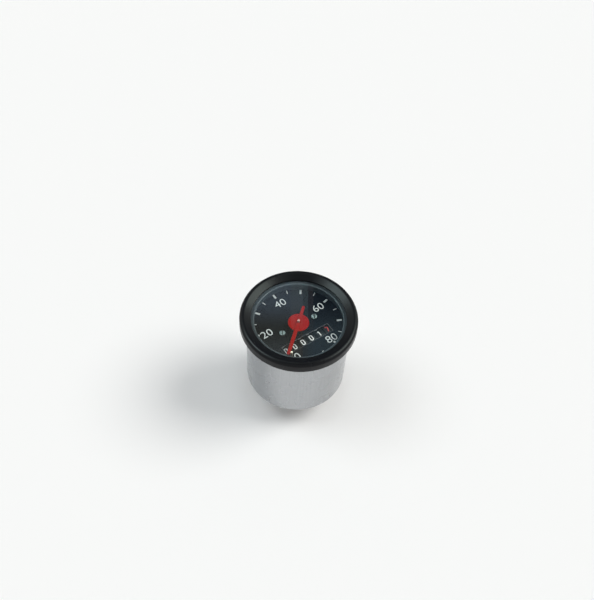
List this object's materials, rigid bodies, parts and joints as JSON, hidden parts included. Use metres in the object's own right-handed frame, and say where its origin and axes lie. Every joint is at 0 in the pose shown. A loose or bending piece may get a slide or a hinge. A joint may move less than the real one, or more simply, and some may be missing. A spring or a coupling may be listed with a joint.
{
  "type": "speedometer",
  "caption": "Round panel speedometer with a red pointer behind flat glass, a black dial, a drum distance counter and a drag-cup movement in a steel case with a rear drive neck.",
  "frame": {"origin": "centre of the bezel's seat plane on the panel, on the case's axis", "axes": "+Z out of the dial towards the viewer, +X to the dial's right, +Y to the dial's top"},
  "size_m": [0.0544, 0.0544, 0.0574],
  "materials": {
    "black_enamel": "satin",
    "clear_glass": "polished",
    "black_rubber": "matt",
    "grey_ring": "satin",
    "dial_black": "matt",
    "pointer_red": "satin",
    "drum_black": "satin",
    "white_plastic": "satin",
    "zinc_plate": "satin",
    "bright_steel": "polished",
    "spring_bronze": "satin",
    "brass": "satin",
    "aluminium": "satin",
    "soft_iron": "matt",
    "magnet_iron": "matt"
  },
  "bodies": {
    "housing": {"bezel": "black_enamel", "glass": "clear_glass", "glass_seal": "black_rubber", "spacer_ring": "grey_ring", "dial": "dial_black", "dial_screws": "bright_steel", "stop_pin": "brass", "case": "zinc_plate", "case_studs": "zinc_plate", "neck": "brass", "neck_bush": "spring_bronze", "frame_screws": "zinc_plate", "frame_pillars": "zinc_plate", "movement_frame": "brass", "frame_bush": "spring_bronze", "flux_ring": "soft_iron", "shaft_strap": "zinc_plate", "left_side_plate": "zinc_plate", "right_side_plate": "zinc_plate", "movement_screws": "bright_steel", "counter_shaft": "bright_steel", "carry_shaft": "bright_steel", "shaft_clips": "soft_iron", "bridge": "brass", "bridge_posts": "zinc_plate", "dial_pillars": "zinc_plate", "spring_stud": "brass", "hairspring": "spring_bronze", "thrust_washer": "white_plastic"},
    "pointer_unit": {"pointer": "pointer_red", "pointer_spindle": "bright_steel", "drag_cup": "aluminium", "spring_collet": "brass"},
    "input_unit": {"input_spindle": "bright_steel", "magnet": "magnet_iron", "magnet_hub": "brass", "input_worm": "brass"},
    "cross_unit": {"cross_shaft": "bright_steel", "cross_wheel": "white_plastic", "cross_worm": "brass"},
    "upright_unit": {"upright_shaft": "bright_steel", "upright_wheel": "white_plastic", "upright_worm": "brass"},
    "tenths_unit": {"counter_gear": "white_plastic", "drum_tenths": "drum_black"},
    "units_drum": {"drum_units": "drum_black"},
    "tens_drum": {"drum_tens": "drum_black"},
    "hundreds_drum": {"drum_hundreds": "drum_black"},
    "thousands_drum": {"drum_thousands": "drum_black"},
    "ten_thousands_drum": {"drum_ten_thousands": "drum_black"},
    "pinion_1": {"carry_pinion_1": "white_plastic"},
    "pinion_2": {"carry_pinion_2": "white_plastic"},
    "pinion_3": {"carry_pinion_3": "white_plastic"},
    "pinion_4": {"carry_pinion_4": "white_plastic"},
    "pinion_5": {"carry_pinion_5": "white_plastic"}
  },
  "joints": [
    {"name": "pointer_swing", "type": "hinge", "parent": "housing", "child": "pointer_unit", "pos_m": [0, 0, 0], "axis": [0, 0, -1], "range_deg": [0, 282.9], "stiffness_Nm_per_rad": 0.0002, "springref_deg": -11.46, "deforming": ["hairspring"]},
    {"name": "input_spin", "type": "hinge", "parent": "housing", "child": "input_unit", "pos_m": [0, 0, 0], "axis": [0, 0, 1], "continuous": true},
    {"name": "cross_spin", "type": "hinge", "parent": "housing", "child": "cross_unit", "pos_m": [0, 0.0056, -0.0342], "axis": [1, 0, 0], "continuous": true},
    {"name": "upright_spin", "type": "hinge", "parent": "housing", "child": "upright_unit", "pos_m": [0.0148, -0.002, 0], "axis": [0, 0, 1], "continuous": true},
    {"name": "tenths_spin", "type": "hinge", "parent": "housing", "child": "tenths_unit", "pos_m": [0, -0.0089, -0.0103], "axis": [1, 0, 0], "continuous": true},
    {"name": "units_spin", "type": "hinge", "parent": "housing", "child": "units_drum", "pos_m": [0, -0.0089, -0.0103], "axis": [1, 0, 0], "continuous": true},
    {"name": "tens_spin", "type": "hinge", "parent": "housing", "child": "tens_drum", "pos_m": [0, -0.0089, -0.0103], "axis": [1, 0, 0], "continuous": true},
    {"name": "hundreds_spin", "type": "hinge", "parent": "housing", "child": "hundreds_drum", "pos_m": [0, -0.0089, -0.0103], "axis": [1, 0, 0], "continuous": true},
    {"name": "thousands_spin", "type": "hinge", "parent": "housing", "child": "thousands_drum", "pos_m": [0, -0.0089, -0.0103], "axis": [1, 0, 0], "continuous": true},
    {"name": "ten_thousands_spin", "type": "hinge", "parent": "housing", "child": "ten_thousands_drum", "pos_m": [0, -0.0089, -0.0103], "axis": [1, 0, 0], "continuous": true},
    {"name": "pinion_1_spin", "type": "hinge", "parent": "housing", "child": "pinion_1", "pos_m": [0, -0.01275, -0.01697], "axis": [1, 0, 0], "continuous": true},
    {"name": "pinion_2_spin", "type": "hinge", "parent": "housing", "child": "pinion_2", "pos_m": [0, -0.01275, -0.01697], "axis": [1, 0, 0], "continuous": true},
    {"name": "pinion_3_spin", "type": "hinge", "parent": "housing", "child": "pinion_3", "pos_m": [0, -0.01275, -0.01697], "axis": [1, 0, 0], "continuous": true},
    {"name": "pinion_4_spin", "type": "hinge", "parent": "housing", "child": "pinion_4", "pos_m": [0, -0.01275, -0.01697], "axis": [1, 0, 0], "continuous": true},
    {"name": "pinion_5_spin", "type": "hinge", "parent": "housing", "child": "pinion_5", "pos_m": [0, -0.01275, -0.01697], "axis": [1, 0, 0], "continuous": true}
  ],
  "couplings": [
    {"joint": "cross_spin", "follows": "input_spin", "ratio": 0.1},
    {"joint": "upright_spin", "follows": "input_spin", "ratio": 0.01},
    {"joint": "tenths_spin", "follows": "input_spin", "ratio": 0.001},
    {"joint": "units_spin", "follows": "input_spin", "ratio": 0.0001},
    {"joint": "tens_spin", "follows": "input_spin", "ratio": 0.00001},
    {"joint": "hundreds_spin", "follows": "input_spin", "ratio": 0.000001},
    {"joint": "thousands_spin", "follows": "input_spin", "ratio": 0.0000001},
    {"joint": "ten_thousands_spin", "follows": "input_spin", "ratio": 0.00000001},
    {"joint": "pinion_1_spin", "follows": "input_spin", "ratio": -0.000000025},
    {"joint": "pinion_2_spin", "follows": "input_spin", "ratio": -0.00000025},
    {"joint": "pinion_3_spin", "follows": "input_spin", "ratio": -0.0000025},
    {"joint": "pinion_4_spin", "follows": "input_spin", "ratio": -0.000025},
    {"joint": "pinion_5_spin", "follows": "input_spin", "ratio": -0.00025}
  ]
}
